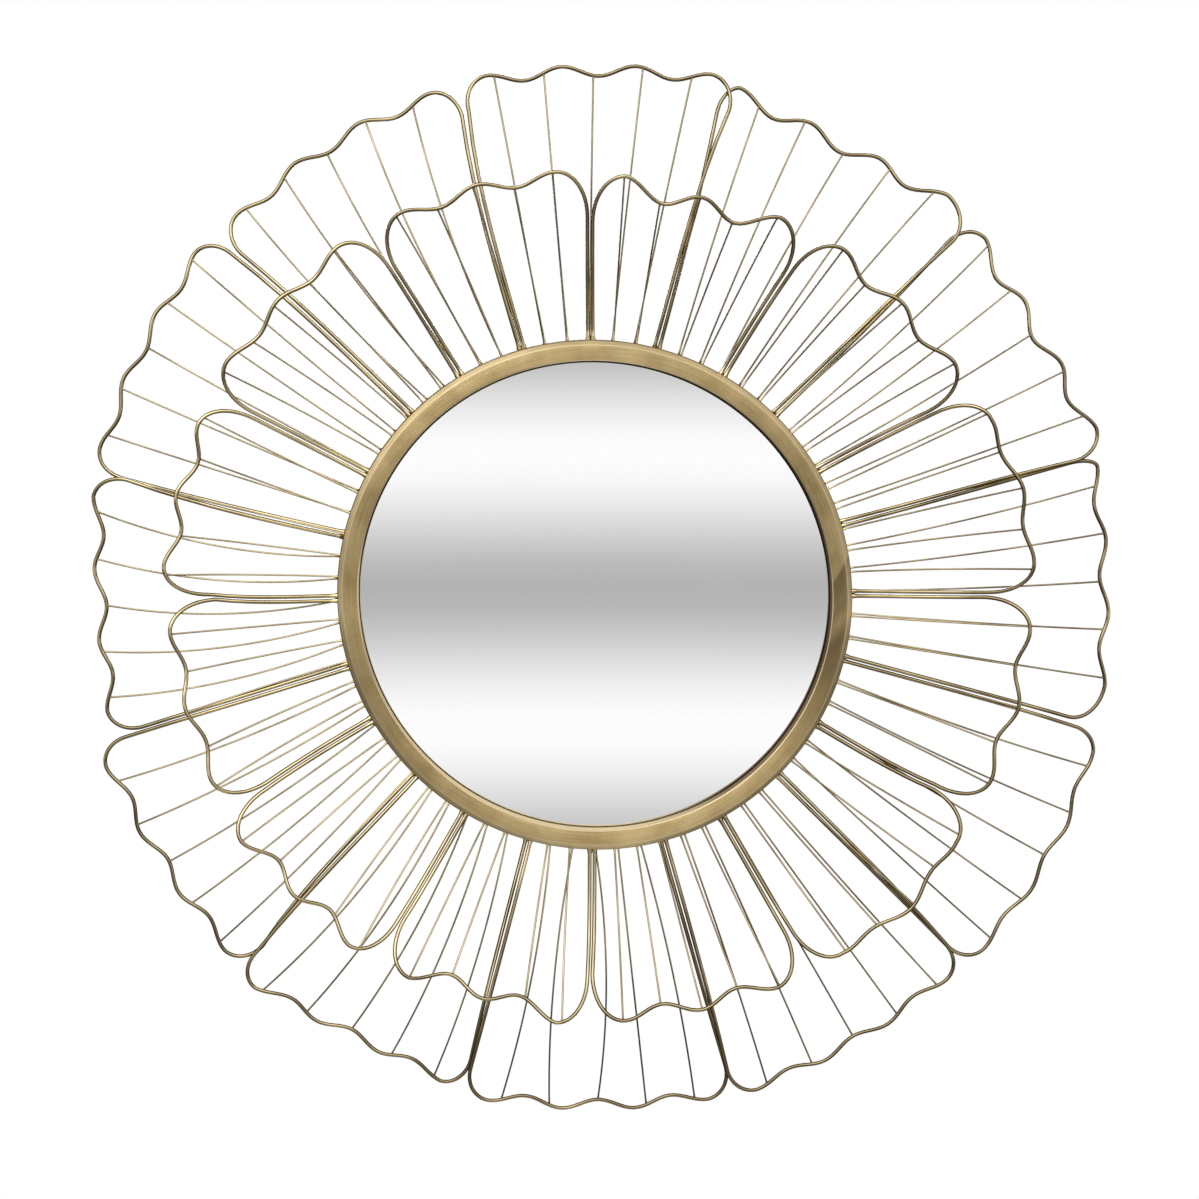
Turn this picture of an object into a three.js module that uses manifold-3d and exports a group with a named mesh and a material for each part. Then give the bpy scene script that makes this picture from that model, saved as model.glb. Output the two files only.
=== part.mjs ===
// Round wall mirror in a gold hoop, with two rows of wire petals, scalloped at their ends.
// Millimetres, +Z up. The wall is the plane y = 0 and the mirror faces -Y.

import * as THREE from 'three';
import { mergeVertices } from 'three/addons/utils/BufferGeometryUtils.js';
import Module from 'manifold-3d';

const wasm = await Module();
wasm.setup();

// Clearance between pieces that touch
const CLEARANCE = 0.3;

// Hoop, rolled from square tube, with its front edges bevelled. It is a little oval, longest along
// the given angle, and sits a little off the middle of the petals.
const HOOP_RADIUS = 195.7;
const HOOP_OVAL = 1.8;
const HOOP_OVAL_ANGLE = -35;
const HOOP_SHIFT_X = 1;
const HOOP_SHIFT_Z = -2.2;
const TUBE_SIDE = 16;
const OUTER_BEVEL_WIDTH = 4;
const OUTER_BEVEL_DEPTH = 3;
const INNER_BEVEL = 1;
const ROUND_SEGMENTS = 50;

// Mirror glass inside the hoop, on a board that covers the hoop's back
const GLASS_THICKNESS = 4;
const GLASS_PLAY = 0.7;
const BOARD_THICKNESS = 6;
const BOARD_RADIUS = 188;
const BOARD_CHAMFER = 1;

// Keyhole hanger, let in flush with the back of the board
const HANGER_HEIGHT = 140;
const HANGER_WIDTH = 24;
const HANGER_LENGTH = 60;
const HANGER_THICKNESS = 1.5;
const KEYHOLE_RADIUS = 5;
const KEYHOLE_DROP = 8;
const SLOT_RADIUS = 2.6;
const SLOT_RISE = 10;
const KEYHOLE_STEPS = 6;
const POCKET_WIDTH = 16;
const POCKET_LENGTH = 40;
const POCKET_DEPTH = 5;

// Petals: a rim of thick wire with thin spokes from the hoop to the scalloped end
const PETALS_IN_ROW = 12;
const RIM_RADIUS = 1.5;
const RIM_SPACING = 0.8;
const SPOKE_RADIUS = 0.75;
const SPOKE_STEPS = 2;
const SPOKE_PLACES = [-1, -0.5, 0, 0.5, 1];
const STRAIGHT_SPOKES = [0, 0, 0, 0, 0];
const SPOKE_ROOT_SPREAD = 0.667;
const SPOKE_TIP_SPREAD = 0.72;
const ROOT_PLAY = 0.6;
const SIDE_STEPS = 3;
const CORNER_STEPS = 3;
const SCALLOP_STEPS = 6;
const SIDE_EASE = 3;
const TWIST_EASE = 4;

// The two rows. Depths are y of the wire at the hoop and at the tip, and the bow between them.
// Each petal is bent by hand. Its first side strays by some degrees from its even place at the hoop
// (root), and both sides do at the corners. Its first and last crest miss the row's reach by some
// millimetres, the crests between them sag towards the hoop, and the scallops have their own depth.
// The spokes' tips fan and the scallops slide round by some degrees, and the spokes sway sideways by
// some millimetres, all anticlockwise if positive. A petal whose first corner lies over its neighbour
// is twisted, so that this corner stands forward by some millimetres.
const REAR_ROW = {
  name: 'rear_petal',
  firstSide: -15,
  reach: 398,
  rootDepth: -9.5,
  tipDepth: -3.5,
  bow: -10,
  scallops: 4,
  crestSpread: 0.8,
  cornerRise: 23,
  bends: [
    { root: 0, corners: [-0.3, 0.3], first: 7, last: 2, sag: 4, scallop: 7, fan: 0.9, slide: 1.5 },
    { root: 0.5, corners: [-0.1, 0], first: 8, last: 4, sag: 7, scallop: 10, fan: 0.5, twist: 5 },
    { root: -0.3, corners: [-0.8, 1], first: 6, last: -1, sag: 9, scallop: 10,
      fan: 0.4, slide: 0.9, sways: [3, 3, 3, 3, 3], twist: 6 },
    { root: 0.7, corners: [-0.8, -0.2], first: 3, last: 0, sag: 2, scallop: 8, fan: 0.6, twist: 6 },
    { root: 1.4, corners: [0.1, 1.1], first: -2, last: -6, sag: -1, scallop: 8,
      fan: 0.5, sways: [5, 5, 5, 5, 5] },
    { root: 0.3, corners: [1.3, 1.2], first: -3, last: -9, sag: 1, scallop: 7, fan: -0.4 },
    { root: 1.4, corners: [0.6, 1.5], first: -13, last: -17, sag: 6, scallop: 8,
      sways: [7, 7, 7, 7, 7], twist: 7 },
    { root: 1.2, corners: [1.5, 2], first: -3, last: -2, sag: 3, scallop: 8,
      fan: 0.4, sways: [4, 4, 4, 4, 4] },
    { root: 0.4, corners: [1.3, 0.5], first: 3, last: 1, sag: 7, scallop: 7,
      sways: [6, 6, 6, 6, 6], twist: 5 },
    { root: 0, corners: [0.1, 0.7], first: 6, last: 11, sag: 2, scallop: 8,
      sways: [4, -6, 7, 0, 4], twist: 5 },
    { root: 0.5, corners: [0.2, 0], first: 13, last: 15, sag: 1, scallop: 7, twist: 5 },
    { root: 0.2, corners: [-0.5, -0.6], first: 17, last: 12, sag: -2, scallop: 6,
      sways: [-2, -2, -2, -2, -2], twist: 5 },
  ],
};
const FRONT_ROW = {
  name: 'front_petal',
  firstSide: 0,
  reach: 322,
  rootDepth: -16.3,
  tipDepth: -52,
  bow: 5,
  scallops: 3,
  crestSpread: 0.69,
  cornerRise: 34,
  bends: [
    { root: -0.2, corners: [0, -1.3], first: 9, last: 3, sag: -3, scallop: 6 },
    { root: -1.1, corners: [-1.3, -0.6], first: -2, last: -4, sag: 2, scallop: 9 },
    { root: -0.3, corners: [-0.4, 1], first: -8, last: -8, sag: 6, scallop: 12, fan: 0.3 },
    { root: 1, corners: [1, 1.6], first: -4, last: -1, sag: 0, scallop: 8, fan: 0.5 },
    { root: 1.5, corners: [1.6, 1.7], first: 2, last: 4, sag: 1, scallop: 7, fan: 0.9 },
    { root: 1.7, corners: [1.7, -0.4], first: 1, last: 1, sag: 1, scallop: 9 },
    { root: 0.5, corners: [-0.4, -0.5], first: -3, last: -3, sag: 1, scallop: 7, fan: 0.6 },
    { root: -0.8, corners: [-0.4, -1.2], first: 1, last: 0, sag: 3, scallop: 10, fan: 0.7 },
    { root: -0.8, corners: [-1.2, -1], first: -1, last: 3, sag: 6, scallop: 10, fan: 0.5 },
    { root: -0.6, corners: [-1, -0.5], first: 2, last: 7, sag: 1, scallop: 9 },
    { root: -0.5, corners: [-0.2, 0.3], first: 9, last: 10, sag: -6, scallop: 6, fan: 0.7 },
    { root: -0.6, corners: [0.3, 0], first: 9, last: 7, sag: -1, scallop: 8 },
  ],
};

// Finishes
const HOOP_GOLD = new THREE.MeshStandardMaterial({ color: 0xb29b68, roughness: 0.42, metalness: 1 });
const WIRE_GOLD = new THREE.MeshStandardMaterial({ color: 0xa58a55, roughness: 0.35, metalness: 1 });
const SILVERED_GLASS = new THREE.MeshStandardMaterial({ color: 0xeef0f0, roughness: 0.02, metalness: 1 });
const FIBREBOARD = new THREE.MeshStandardMaterial({ color: 0x8a6a48, roughness: 0.85, metalness: 0 });
const ZINC_STEEL = new THREE.MeshStandardMaterial({ color: 0xb4b6b6, roughness: 0.4, metalness: 1 });

const HOOP_BACK = -(BOARD_THICKNESS + CLEARANCE);
const HOOP_FRONT = HOOP_BACK - TUBE_SIDE;
const HOOP_INNER = HOOP_RADIUS - TUBE_SIDE;
const EVEN_STEP = 360 / PETALS_IN_ROW;
const RIM_INSET = RIM_RADIUS + RIM_SPACING / 2;

// Wire sections of few sides: the rim's flats lie at the wire's surface, and a spoke keeps its area
const RIM_SIDES = 4;
const RIM_CORNER = RIM_RADIUS / Math.cos(Math.PI / RIM_SIDES);
const SPOKE_SIDES = 3;
const SPOKE_TURN = (2 * Math.PI) / SPOKE_SIDES;
const SPOKE_CORNER = SPOKE_RADIUS * Math.sqrt(SPOKE_TURN / Math.sin(SPOKE_TURN));

// A wire's centreline, stepped evenly in its own parameter, so that bends get the steps they need
class WirePath extends THREE.Curve {
  constructor(pointAt) {
    super();
    this.pointAt = pointAt;
  }

  getPoint(t) {
    return this.pointAt(t);
  }

  getUtoTmapping(u) {
    return u;
  }
}

function solidOf(geometry) {
  const bare = geometry.clone();
  bare.deleteAttribute('normal');
  bare.deleteAttribute('uv');
  const merged = mergeVertices(bare);
  return new wasm.Manifold(new wasm.Mesh({
    numProp: 3,
    vertProperties: new Float32Array(merged.attributes.position.array),
    triVerts: new Uint32Array(merged.index.array),
  }));
}

function geometryOf(solid) {
  const mesh = solid.getMesh();
  const geometry = new THREE.BufferGeometry();
  geometry.setAttribute('position', new THREE.BufferAttribute(mesh.vertProperties, mesh.numProp));
  geometry.setIndex(new THREE.BufferAttribute(mesh.triVerts, 1));
  geometry.computeVertexNormals();
  return geometry;
}

function namedMesh(name, geometry, material) {
  const mesh = new THREE.Mesh(geometry, material);
  mesh.name = name;
  return mesh;
}

// How far the hoop's edge lies outside its even circle at an angle, anticlockwise from +X, in radians
function hoopStray(angle) {
  const fromLongest = angle - THREE.MathUtils.degToRad(HOOP_OVAL_ANGLE);
  const shifted = HOOP_SHIFT_X * Math.cos(angle) + HOOP_SHIFT_Z * Math.sin(angle);
  return shifted + HOOP_OVAL * Math.cos(2 * fromLongest);
}

// A body turned from a profile, drawn out with the hoop's oval
function turned(profile) {
  const geometry = new THREE.LatheGeometry(profile, ROUND_SEGMENTS);
  const places = geometry.attributes.position;
  for (let index = 0; index < places.count; index += 1) {
    const x = places.getX(index);
    const z = places.getZ(index);
    const radius = Math.hypot(x, z);
    const grown = radius > 0 ? 1 + hoopStray(Math.atan2(z, x)) / radius : 1;
    places.setX(index, x * grown);
    places.setZ(index, z * grown);
  }
  geometry.computeVertexNormals();
  return geometry;
}

function makeHoop() {
  const outerBack = new THREE.Vector2(HOOP_RADIUS, HOOP_BACK);
  const profile = [
    outerBack,
    new THREE.Vector2(HOOP_INNER, HOOP_BACK),
    new THREE.Vector2(HOOP_INNER, HOOP_FRONT + INNER_BEVEL),
    new THREE.Vector2(HOOP_INNER + INNER_BEVEL, HOOP_FRONT),
    new THREE.Vector2(HOOP_RADIUS - OUTER_BEVEL_WIDTH, HOOP_FRONT),
    new THREE.Vector2(HOOP_RADIUS, HOOP_FRONT + OUTER_BEVEL_DEPTH),
    outerBack,
  ];
  return namedMesh('ring', turned(profile), HOOP_GOLD);
}

function makeGlass() {
  const radius = HOOP_INNER - GLASS_PLAY;
  const profile = [
    new THREE.Vector2(0, HOOP_BACK - GLASS_THICKNESS),
    new THREE.Vector2(radius, HOOP_BACK - GLASS_THICKNESS),
    new THREE.Vector2(radius, HOOP_BACK),
    new THREE.Vector2(0, HOOP_BACK),
  ];
  return namedMesh('mirror_glass', turned(profile), SILVERED_GLASS);
}

// A block let into the board's back around the hanger, down to the given depth
function hangerRecess(width, length, depth) {
  const block = new THREE.BoxGeometry(width, 2 * depth, length);
  block.translate(0, 0, HANGER_HEIGHT);
  return solidOf(block);
}

function makeBoard() {
  const profile = [
    new THREE.Vector2(0, -BOARD_THICKNESS),
    new THREE.Vector2(BOARD_RADIUS, -BOARD_THICKNESS),
    new THREE.Vector2(BOARD_RADIUS, -BOARD_CHAMFER),
    new THREE.Vector2(BOARD_RADIUS - BOARD_CHAMFER, 0),
    new THREE.Vector2(0, 0),
  ];
  const plateBed = hangerRecess(
    HANGER_WIDTH + 2 * CLEARANCE,
    HANGER_LENGTH + 2 * CLEARANCE,
    HANGER_THICKNESS + CLEARANCE,
  );
  const screwPocket = hangerRecess(POCKET_WIDTH, POCKET_LENGTH, POCKET_DEPTH);
  const disc = solidOf(turned(profile));
  const board = disc.subtract(plateBed).subtract(screwPocket);
  return namedMesh('back_board', geometryOf(board), FIBREBOARD);
}

function makeHanger() {
  const plate = new THREE.Shape();
  plate.moveTo(-HANGER_WIDTH / 2, -HANGER_LENGTH / 2);
  plate.lineTo(HANGER_WIDTH / 2, -HANGER_LENGTH / 2);
  plate.lineTo(HANGER_WIDTH / 2, HANGER_LENGTH / 2);
  plate.lineTo(-HANGER_WIDTH / 2, HANGER_LENGTH / 2);
  plate.closePath();
  const shoulder = Math.acos(SLOT_RADIUS / KEYHOLE_RADIUS);
  const keyhole = new THREE.Path();
  keyhole.absarc(0, -KEYHOLE_DROP, KEYHOLE_RADIUS, Math.PI - shoulder, shoulder, false);
  keyhole.absarc(0, SLOT_RISE, SLOT_RADIUS, 0, Math.PI, false);
  keyhole.closePath();
  plate.holes.push(keyhole);
  const geometry = new THREE.ExtrudeGeometry(plate, {
    depth: HANGER_THICKNESS,
    bevelEnabled: false,
    curveSegments: KEYHOLE_STEPS,
  });
  const hanger = namedMesh('hanger_plate', geometry, ZINC_STEEL);
  hanger.rotation.x = Math.PI / 2;
  hanger.position.z = HANGER_HEIGHT;
  return hanger;
}

// Everything that a petal's wires follow. Angles are in radians, anticlockwise from the petal's axis.
function petalShape(row, index) {
  const bend = row.bends[index];
  const next = row.bends[(index + 1) % PETALS_IN_ROW];
  const { degToRad } = THREE.MathUtils;
  const [firstCorner, lastCorner] = bend.corners;
  const tipHalf = degToRad((EVEN_STEP + lastCorner - firstCorner) / 2);
  return {
    row,
    axis: degToRad(row.firstSide + (index + 0.5) * EVEN_STEP),
    rootMiddle: degToRad((bend.root + next.root) / 2),
    rootHalf: degToRad((EVEN_STEP + next.root - bend.root) / 2),
    tipMiddle: degToRad((firstCorner + lastCorner) / 2),
    tipHalf,
    crest: tipHalf * row.crestSpread,
    first: row.reach + bend.first,
    last: row.reach + bend.last,
    far: row.reach + Math.max(bend.first, bend.last),
    sag: bend.sag,
    scallop: bend.scallop,
    fan: degToRad(bend.fan ?? 0),
    slide: degToRad(bend.slide ?? 0),
    sways: bend.sways ?? STRAIGHT_SPOKES,
    twist: bend.twist ?? 0,
  };
}

// Rises from 0 to 1 and falls back to 0 as t runs from 0 to 1
function hump(t) {
  return 4 * t * (1 - t);
}

// A point of the petal at an angle from its axis and a radius
function petalPoint(petal, angle, radius) {
  const { rootDepth, tipDepth, bow } = petal.row;
  const reached = (radius - HOOP_RADIUS) / (petal.far - HOOP_RADIUS);
  const towardsFirst = (petal.tipMiddle + petal.tipHalf - angle) / (2 * petal.tipHalf);
  const twisted = petal.twist * towardsFirst * (1 - (1 - reached) ** TWIST_EASE);
  const depth = rootDepth + (tipDepth - rootDepth) * reached + bow * hump(reached) - twisted;
  return new THREE.Vector3(-radius * Math.sin(angle), depth, radius * Math.cos(angle));
}

// Radius at which a wire starts from the hoop
function rootRadius(petal, angle) {
  return HOOP_RADIUS + hoopStray(petal.axis + angle) + ROOT_PLAY;
}

function crestRadius(petal, side) {
  return side < 0 ? petal.first : petal.last;
}

function cornerStart(petal, side) {
  return crestRadius(petal, side) - petal.row.cornerRise;
}

// The side wires run out beside the line that the petal shares with its neighbour, and leave it late
function sideAngle(petal, side, radius) {
  const along = (radius - HOOP_RADIUS) / (cornerStart(petal, side) - HOOP_RADIUS);
  const strayed = along ** SIDE_EASE;
  const middle = THREE.MathUtils.lerp(petal.rootMiddle, petal.tipMiddle, strayed);
  const half = THREE.MathUtils.lerp(petal.rootHalf, petal.tipHalf, strayed);
  return middle + side * (half - Math.asin(RIM_INSET / radius));
}

// Angle from the middle of the tip to a corner, at the middle of the wire
function widestAngle(petal, side) {
  return petal.tipHalf - Math.asin(RIM_INSET / cornerStart(petal, side));
}

// Angle from the middle of the tip to the outermost crest on a side
function crestAngle(petal, side) {
  return petal.crest + side * petal.slide;
}

// Radius of the scalloped end at an angle from the middle of the tip, round the corners too
function endRadius(petal, angle) {
  const slid = angle - petal.slide;
  if (Math.abs(slid) <= petal.crest) {
    const across = (slid + petal.crest) / (2 * petal.crest);
    const phase = 2 * Math.PI * (petal.row.scallops - 1) * across;
    const reach = THREE.MathUtils.lerp(petal.first, petal.last, across) - petal.sag * hump(across);
    return reach - petal.scallop * (1 - Math.cos(phase)) / 2;
  }
  const side = Math.sign(angle);
  const crest = crestAngle(petal, side);
  const past = (Math.abs(angle) - crest) / (widestAngle(petal, side) - crest);
  return cornerStart(petal, side) + petal.row.cornerRise * Math.sqrt(1 - past * past);
}

function rimSteps(row) {
  return 2 * (SIDE_STEPS + CORNER_STEPS) + (row.scallops - 1) * SCALLOP_STEPS;
}

// Up the first side, round its corner, along the scallops and back down the last side
function rimPoint(petal, t) {
  const steps = rimSteps(petal.row);
  const cornerEnd = SIDE_STEPS + CORNER_STEPS;
  const ahead = t * steps;
  const behind = steps - ahead;
  if (ahead > cornerEnd && behind > cornerEnd) {
    const across = (ahead - cornerEnd) / (steps - 2 * cornerEnd);
    const angle = petal.slide + petal.crest * (2 * across - 1);
    return petalPoint(petal, petal.tipMiddle + angle, endRadius(petal, angle));
  }
  const side = ahead < behind ? -1 : 1;
  const along = Math.min(ahead, behind);
  const start = cornerStart(petal, side);
  if (along <= SIDE_STEPS) {
    const root = rootRadius(petal, petal.rootMiddle + side * petal.rootHalf);
    const radius = THREE.MathUtils.lerp(root, start, along / SIDE_STEPS);
    return petalPoint(petal, sideAngle(petal, side, radius), radius);
  }
  const turn = ((along - SIDE_STEPS) / CORNER_STEPS) * (Math.PI / 2);
  const angle = THREE.MathUtils.lerp(crestAngle(petal, side), widestAngle(petal, side), Math.cos(turn));
  return petalPoint(petal, petal.tipMiddle + side * angle, start + petal.row.cornerRise * Math.sin(turn));
}

// Out from the hoop to the middle of the rim wire, fanning a little
function spokePoint(petal, spoke, t) {
  const place = SPOKE_PLACES[spoke];
  const rootAngle = petal.rootMiddle + place * SPOKE_ROOT_SPREAD * petal.rootHalf;
  const tipAngle = petal.fan + place * SPOKE_TIP_SPREAD * THREE.MathUtils.degToRad(EVEN_STEP / 2);
  const radius = THREE.MathUtils.lerp(rootRadius(petal, rootAngle), endRadius(petal, tipAngle), t);
  const swayAngle = (petal.sways[spoke] * hump(t)) / radius;
  const angle = THREE.MathUtils.lerp(rootAngle, petal.tipMiddle + tipAngle, t) + swayAngle;
  return petalPoint(petal, angle, radius);
}

function wireSolid(cornerRadius, sides, steps, pointAt) {
  const corners = [];
  for (let side = 0; side < sides; side += 1) {
    const angle = (2 * Math.PI * (side + 0.5)) / sides;
    corners.push(new THREE.Vector2(cornerRadius * Math.cos(angle), cornerRadius * Math.sin(angle)));
  }
  return solidOf(new THREE.ExtrudeGeometry(new THREE.Shape(corners), {
    steps,
    bevelEnabled: false,
    extrudePath: new WirePath(pointAt),
  }));
}

function makePetal(row, index) {
  const petal = petalShape(row, index);
  let wires = wireSolid(RIM_CORNER, RIM_SIDES, rimSteps(row), (t) => rimPoint(petal, t));
  for (let spoke = 0; spoke < SPOKE_PLACES.length; spoke += 1) {
    const wire = wireSolid(SPOKE_CORNER, SPOKE_SIDES, SPOKE_STEPS, (t) => spokePoint(petal, spoke, t));
    wires = wires.add(wire);
  }
  const number = String(index + 1).padStart(2, '0');
  const mesh = namedMesh(`${row.name}_${number}`, geometryOf(wires), WIRE_GOLD);
  mesh.rotation.y = Math.PI / 2 - petal.axis;
  return mesh;
}

function makeRow(row) {
  const group = new THREE.Group();
  for (let index = 0; index < PETALS_IN_ROW; index += 1) {
    group.add(makePetal(row, index));
  }
  return group;
}

const wallMirror = new THREE.Group();
wallMirror.add(makeHoop(), makeGlass(), makeBoard(), makeHanger(), makeRow(REAR_ROW), makeRow(FRONT_ROW));

export default wallMirror;
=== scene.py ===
"""Dresses a round wall mirror: a gold hoop with two rows of wire petals, and a keyhole plate behind."""
import math
from typing import NamedTuple

import bmesh
import bpy
from bpy.props import FloatProperty, FloatVectorProperty, PointerProperty
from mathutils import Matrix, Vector


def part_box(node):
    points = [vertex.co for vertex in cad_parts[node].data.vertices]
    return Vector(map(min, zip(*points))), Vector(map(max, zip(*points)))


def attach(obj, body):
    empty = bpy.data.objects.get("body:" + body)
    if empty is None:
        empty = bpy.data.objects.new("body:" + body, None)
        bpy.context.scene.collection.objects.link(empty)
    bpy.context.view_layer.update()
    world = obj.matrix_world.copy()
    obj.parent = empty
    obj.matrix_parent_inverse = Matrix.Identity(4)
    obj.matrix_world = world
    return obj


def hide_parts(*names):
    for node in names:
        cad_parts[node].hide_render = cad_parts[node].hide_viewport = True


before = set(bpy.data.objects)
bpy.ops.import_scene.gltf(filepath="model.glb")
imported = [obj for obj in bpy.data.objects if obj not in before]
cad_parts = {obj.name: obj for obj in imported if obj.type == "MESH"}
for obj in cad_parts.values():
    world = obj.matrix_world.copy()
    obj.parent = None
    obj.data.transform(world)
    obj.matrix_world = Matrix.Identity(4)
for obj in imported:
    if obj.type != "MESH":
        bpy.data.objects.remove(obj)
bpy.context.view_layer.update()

bl_info = {
    "name": "Petal wall mirror",
    "version": (1, 0, 0),
    "blender": (4, 5, 0),
    "location": "View3D > Sidebar > Mirror",
    "description": "Dresses a round wall mirror in a gold hoop with two rows of wire petals",
    "category": "Object",
}


def linear(hex_colour):
    """Turns an sRGB hex colour into linear red, green and blue, with full alpha."""
    channels = [int(hex_colour[place:place + 2], 16) / 255 for place in (1, 3, 5)]
    return (*(c / 12.92 if c <= 0.04045 else ((c + 0.055) / 1.055) ** 2.4 for c in channels), 1.0)


def length_setting(name, description, default):
    """A setting in metres."""
    return FloatProperty(name=name, description=description, default=default, min=0.0, unit="LENGTH")


def share_setting(name, description, default):
    """A setting that is a share of something else."""
    return FloatProperty(name=name, description=description, default=default)


def place_setting(name, description, default):
    """A setting for a place or a size along X, Y and Z, in metres."""
    return FloatVectorProperty(name=name, description=description, default=default, size=3, unit="LENGTH")


def angle_setting(name, description, degrees):
    """A setting for an angle."""
    return FloatProperty(name=name, description=description, default=math.radians(degrees), subtype="ANGLE")


def colour_setting(name, description, hex_colour):
    """A setting for a colour."""
    default = linear(hex_colour)
    return FloatVectorProperty(name=name, description=description, default=default, subtype="COLOR", size=4)


# Places that the frame gives, in metres
RING_LOW, RING_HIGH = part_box("ring")
GLASS_LOW, GLASS_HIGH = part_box("mirror_glass")
BOARD_LOW, BOARD_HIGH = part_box("back_board")
PLATE_LOW, PLATE_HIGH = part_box("hanger_plate")
TUBE_SIDE = RING_HIGH.y - RING_LOW.y
PLATE_SIZE = PLATE_HIGH - PLATE_LOW
PLATE_MIDDLE = (PLATE_LOW + PLATE_HIGH) / 2
# Places closer than this are the same
TOUCH = 1e-5
# Depth of a cutter that goes right through the plate
THROUGH = 0.02
# Rows and bends are in millimetres, and all else in metres
MM_IN_METRE = 1000
# Sides of round bodies, and of pins and screws
ROUND_SIDES = 480
PIN_SIDES = 48
# Creases sharper than these stay sharp
METAL_CREASE = math.radians(35)
GLASS_CREASE = math.radians(20)
BOARD_CREASE = math.radians(25)
WIRE_CREASE = math.radians(40)
PETALS_IN_ROW = 12
# Steps along a side, a corner, a stretch between two crests, and a spoke
SIDE_STEPS = 14
CORNER_STEPS = 12
SCALLOP_STEPS = 16
SPOKE_STEPS = 32
# A side strays late on its way out, and a twist starts early
STRAY_POWER = 3
TWIST_POWER = 4


class Bend(NamedTuple):
    """How one hand-bent petal misses the even pattern, in degrees and millimetres.

    Its first side strays at the hoop (root), both sides stray at their corners, the end crests miss the
    row's reach, the crests between them sag, the spokes' tips fan, the scallops slide, each spoke sways, and
    a twist brings the first corner forward.
    """

    root: float
    corners: tuple
    first: float
    last: float
    sag: float
    scallop: float
    fan: float = 0.0
    slide: float = 0.0
    sways: tuple = (0, 0, 0, 0, 0)
    twist: float = 0.0


class Row(NamedTuple):
    """One row of petals: lengths in millimetres, angles in degrees, depths along Y."""

    node: str
    first_side: float
    reach: float
    root_depth: float
    tip_depth: float
    bow: float
    scallops: int
    crest_spread: float
    corner_rise: float
    bends: tuple


REAR_ROW = Row(
    node="rear_petal",
    first_side=-15,
    reach=398,
    root_depth=-9.5,
    tip_depth=-3.5,
    bow=-10,
    scallops=4,
    crest_spread=0.8,
    corner_rise=23,
    bends=(
        Bend(root=0, corners=(-0.3, 0.3), first=7, last=2, sag=4, scallop=7, fan=0.9, slide=1.5),
        Bend(root=0.5, corners=(-0.1, 0), first=8, last=4, sag=7, scallop=10, fan=0.5, twist=5),
        Bend(
            root=-0.3, corners=(-0.8, 1), first=6, last=-1, sag=9, scallop=10,
            fan=0.4, slide=0.9, sways=(3,) * 5, twist=6,
        ),
        Bend(root=0.7, corners=(-0.8, -0.2), first=3, last=0, sag=2, scallop=8, fan=0.6, twist=6),
        Bend(root=1.4, corners=(0.1, 1.1), first=-2, last=-6, sag=-1, scallop=8, fan=0.5, sways=(5,) * 5),
        Bend(root=0.3, corners=(1.3, 1.2), first=-3, last=-9, sag=1, scallop=7, fan=-0.4),
        Bend(root=1.4, corners=(0.6, 1.5), first=-13, last=-17, sag=6, scallop=8, sways=(7,) * 5, twist=7),
        Bend(root=1.2, corners=(1.5, 2), first=-3, last=-2, sag=3, scallop=8, fan=0.4, sways=(4,) * 5),
        Bend(root=0.4, corners=(1.3, 0.5), first=3, last=1, sag=7, scallop=7, sways=(6,) * 5, twist=5),
        Bend(root=0, corners=(0.1, 0.7), first=6, last=11, sag=2, scallop=8, sways=(4, -6, 7, 0, 4), twist=5),
        Bend(root=0.5, corners=(0.2, 0), first=13, last=15, sag=1, scallop=7, twist=5),
        Bend(root=0.2, corners=(-0.5, -0.6), first=17, last=12, sag=-2, scallop=6, sways=(-2,) * 5, twist=5),
    ),
)
FRONT_ROW = Row(
    node="front_petal",
    first_side=0,
    reach=322,
    root_depth=-16.3,
    tip_depth=-52,
    bow=5,
    scallops=3,
    crest_spread=0.69,
    corner_rise=34,
    bends=(
        Bend(root=-0.2, corners=(0, -1.3), first=9, last=3, sag=-3, scallop=6),
        Bend(root=-1.1, corners=(-1.3, -0.6), first=-2, last=-4, sag=2, scallop=9),
        Bend(root=-0.3, corners=(-0.4, 1), first=-8, last=-8, sag=6, scallop=12, fan=0.3),
        Bend(root=1, corners=(1, 1.6), first=-4, last=-1, sag=0, scallop=8, fan=0.5),
        Bend(root=1.5, corners=(1.6, 1.7), first=2, last=4, sag=1, scallop=7, fan=0.9),
        Bend(root=1.7, corners=(1.7, -0.4), first=1, last=1, sag=1, scallop=9),
        Bend(root=0.5, corners=(-0.4, -0.5), first=-3, last=-3, sag=1, scallop=7, fan=0.6),
        Bend(root=-0.8, corners=(-0.4, -1.2), first=1, last=0, sag=3, scallop=10, fan=0.7),
        Bend(root=-0.8, corners=(-1.2, -1), first=-1, last=3, sag=6, scallop=10, fan=0.5),
        Bend(root=-0.6, corners=(-1, -0.5), first=2, last=7, sag=1, scallop=9),
        Bend(root=-0.5, corners=(-0.2, 0.3), first=9, last=10, sag=-6, scallop=6, fan=0.7),
        Bend(root=-0.6, corners=(0.3, 0), first=9, last=7, sag=-1, scallop=8),
    ),
)


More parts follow.
